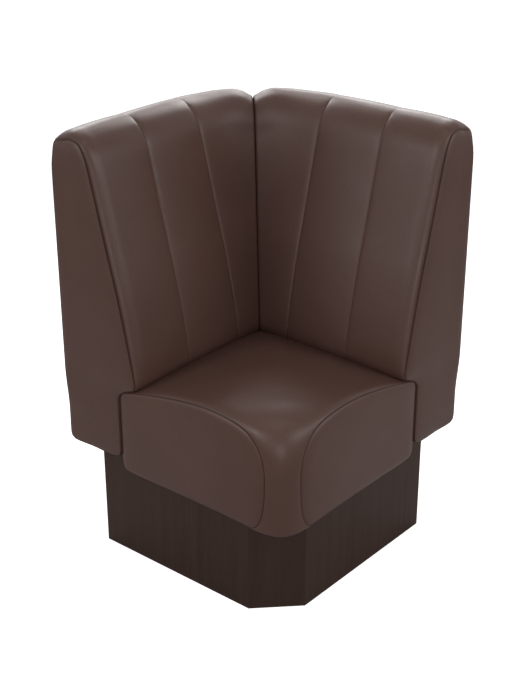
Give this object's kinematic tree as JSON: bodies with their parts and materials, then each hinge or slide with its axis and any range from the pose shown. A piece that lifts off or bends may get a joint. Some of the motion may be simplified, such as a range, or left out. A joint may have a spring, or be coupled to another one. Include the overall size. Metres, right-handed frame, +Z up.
{
  "type": "corner banquette",
  "caption": "Upholstered corner seating unit: high channelled backs on two walls, a crowned square seat with a rounded front corner, and a recessed wood plinth.",
  "frame": {"origin": "centre of the bounding box on the floor plane", "axes": "+Z up; the left back stands along the wall at -X and runs along Y, the other back stands along the wall at +Y and runs along X; the open front corner points towards +X and -Y"},
  "size_m": [0.588, 0.588, 0.942],
  "materials": {
    "upholstery": "satin faux leather",
    "plinth_board": "dark laminated board, satin",
    "frame_timber": "planed softwood",
    "plywood": "raw plywood",
    "foam": "upholstery foam",
    "bottom_cloth": "black bottoming cloth",
    "zinc_steel": "zinc plated"
  },
  "bodies": {
    "root": {"back_corner_board": "plywood", "back_corner_tie": "frame_timber", "base_back_rail": "frame_timber", "base_corner_rail": "frame_timber", "base_left_end_rail": "frame_timber", "base_left_rail": "frame_timber", "base_middle_rail": "frame_timber", "base_right_end_rail": "frame_timber", "base_screws": "zinc_steel", "frame_bolts": "zinc_steel", "frame_nuts": "zinc_steel", "frame_washers": "zinc_steel", "left_back_bottom_rail": "frame_timber", "left_back_cover": "upholstery", "left_back_end_panel": "upholstery", "left_back_face_board": "plywood", "left_back_foam": "foam", "left_back_lower_board": "plywood", "left_back_middle_rails": "frame_timber", "left_back_rear_panel": "plywood", "left_back_ribs": "plywood", "left_back_top_rail": "frame_timber", "plinth_back_rear_panel": "plinth_board", "plinth_brace": "frame_timber", "plinth_corner_blocks": "frame_timber", "plinth_corner_panel": "plinth_board", "plinth_left_end_panel": "plinth_board", "plinth_left_rear_panel": "plinth_board", "plinth_right_end_panel": "plinth_board", "right_back_bottom_rail": "frame_timber", "right_back_cover": "upholstery", "right_back_end_panel": "upholstery", "right_back_face_board": "plywood", "right_back_foam": "foam", "right_back_lower_board": "plywood", "right_back_middle_rails": "frame_timber", "right_back_rear_panel": "plywood", "right_back_ribs": "plywood", "right_back_top_rail": "frame_timber", "seat_back_rear_rail": "plywood", "seat_bottom_cloth": "bottom_cloth", "seat_corner_apron": "plywood", "seat_cover": "upholstery", "seat_cross_rail": "plywood", "seat_deck": "plywood", "seat_edge_foam": "foam", "seat_fixing_cleats": "frame_timber", "seat_foam": "foam", "seat_left_apron": "plywood", "seat_left_gusset": "upholstery", "seat_left_rear_rail": "plywood", "seat_right_apron": "plywood", "seat_right_gusset": "upholstery"}
  },
  "joints": []
}
